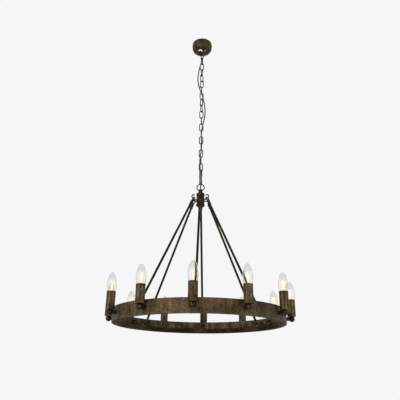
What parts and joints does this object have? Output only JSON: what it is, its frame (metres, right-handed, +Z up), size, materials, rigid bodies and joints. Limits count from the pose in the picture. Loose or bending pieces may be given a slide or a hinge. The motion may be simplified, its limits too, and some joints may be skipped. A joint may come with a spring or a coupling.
{
  "type": "wagon wheel chandelier",
  "caption": "Round metal ring chandelier with candle lamps on its outer side, hung by slanted rods from a hub, a link chain and a ceiling canopy.",
  "frame": {"origin": "middle of the ceiling bracket at the ceiling's surface, on the chandelier's vertical axis", "axes": "+Z up to the ceiling, -Y to the front candle, +X along the bracket to the viewer's right"},
  "size_m": [0.717, 0.717, 1.2938],
  "materials": {
    "dark_bronze": "streaked oil-rubbed bronze, satin",
    "chain_bronze": "dark bronze with a grey-green cast, satin",
    "zinc_steel": "zinc plated",
    "dark_plastic": "matt moulded",
    "cable_sheath": "smooth dark brown sheath",
    "clear_glass": "clear, thin wall",
    "bulb_cap": "drawn metal cap with upright warm filaments"
  },
  "bodies": {
    "ceiling": {"ceiling_bracket": "zinc_steel", "canopy": "dark_bronze", "canopy_screws": "dark_bronze"},
    "swivel": {"ceiling_hook": "dark_bronze", "hook_nut": "zinc_steel", "cord_grip": "dark_plastic"},
    "pendant": {"chain_links": "chain_bronze", "cable": "cable_sheath", "hub_loop": "dark_bronze", "neck_bush": "dark_plastic", "hub_body": "dark_bronze", "finial": "dark_bronze", "hub_hooks": "dark_bronze", "rod_1": "dark_bronze", "rod_2": "dark_bronze", "rod_3": "dark_bronze", "rod_4": "dark_bronze", "rod_5": "dark_bronze", "rod_6": "dark_bronze", "rod_ferrules": "dark_bronze", "band_hooks": "dark_bronze", "band": "dark_bronze", "band_trough": "dark_bronze", "ring_wiring": "cable_sheath", "ball_nuts": "dark_bronze", "arm_nipples": "dark_bronze", "arm_collars": "dark_bronze", "arm_nuts": "dark_bronze", "lamp_nipples": "zinc_steel", "tube_cups": "dark_bronze", "candle_tubes": "dark_bronze", "lampholders": "dark_plastic", "holder_feet": "zinc_steel"},
    "bulb_1": {"bulb_glass_1": "clear_glass", "bulb_base_1": "bulb_cap"},
    "bulb_2": {"bulb_glass_2": "clear_glass", "bulb_base_2": "bulb_cap"},
    "bulb_3": {"bulb_glass_3": "clear_glass", "bulb_base_3": "bulb_cap"},
    "bulb_4": {"bulb_glass_4": "clear_glass", "bulb_base_4": "bulb_cap"},
    "bulb_5": {"bulb_glass_5": "clear_glass", "bulb_base_5": "bulb_cap"},
    "bulb_6": {"bulb_glass_6": "clear_glass", "bulb_base_6": "bulb_cap"},
    "bulb_7": {"bulb_glass_7": "clear_glass", "bulb_base_7": "bulb_cap"},
    "bulb_8": {"bulb_glass_8": "clear_glass", "bulb_base_8": "bulb_cap"},
    "bulb_9": {"bulb_glass_9": "clear_glass", "bulb_base_9": "bulb_cap"},
    "bulb_10": {"bulb_glass_10": "clear_glass", "bulb_base_10": "bulb_cap"},
    "bulb_11": {"bulb_glass_11": "clear_glass", "bulb_base_11": "bulb_cap"},
    "bulb_12": {"bulb_glass_12": "clear_glass", "bulb_base_12": "bulb_cap"}
  },
  "joints": [
    {"name": "hook_turn", "type": "hinge", "parent": "ceiling", "child": "swivel", "pos_m": [0, 0, 0], "axis": [0, 0, 1], "range_deg": [-45, 45]},
    {"name": "pendant_swing", "type": "hinge", "parent": "swivel", "child": "pendant", "pos_m": [0, 0, -0.05], "axis": [0.7071, 0.7071, 0], "range_deg": [-10, 10]},
    {"name": "bulb_1_out", "type": "slide", "parent": "pendant", "child": "bulb_1", "axis": [0, 0, 1], "range_m": [0, 0.03]},
    {"name": "bulb_2_out", "type": "slide", "parent": "pendant", "child": "bulb_2", "axis": [0, 0, 1], "range_m": [0, 0.03]},
    {"name": "bulb_3_out", "type": "slide", "parent": "pendant", "child": "bulb_3", "axis": [0, 0, 1], "range_m": [0, 0.03]},
    {"name": "bulb_4_out", "type": "slide", "parent": "pendant", "child": "bulb_4", "axis": [0, 0, 1], "range_m": [0, 0.03]},
    {"name": "bulb_5_out", "type": "slide", "parent": "pendant", "child": "bulb_5", "axis": [0, 0, 1], "range_m": [0, 0.03]},
    {"name": "bulb_6_out", "type": "slide", "parent": "pendant", "child": "bulb_6", "axis": [0, 0, 1], "range_m": [0, 0.03]},
    {"name": "bulb_7_out", "type": "slide", "parent": "pendant", "child": "bulb_7", "axis": [0, 0, 1], "range_m": [0, 0.03]},
    {"name": "bulb_8_out", "type": "slide", "parent": "pendant", "child": "bulb_8", "axis": [0, 0, 1], "range_m": [0, 0.03]},
    {"name": "bulb_9_out", "type": "slide", "parent": "pendant", "child": "bulb_9", "axis": [0, 0, 1], "range_m": [0, 0.03]},
    {"name": "bulb_10_out", "type": "slide", "parent": "pendant", "child": "bulb_10", "axis": [0, 0, 1], "range_m": [0, 0.03]},
    {"name": "bulb_11_out", "type": "slide", "parent": "pendant", "child": "bulb_11", "axis": [0, 0, 1], "range_m": [0, 0.03]},
    {"name": "bulb_12_out", "type": "slide", "parent": "pendant", "child": "bulb_12", "axis": [0, 0, 1], "range_m": [0, 0.03]}
  ]
}
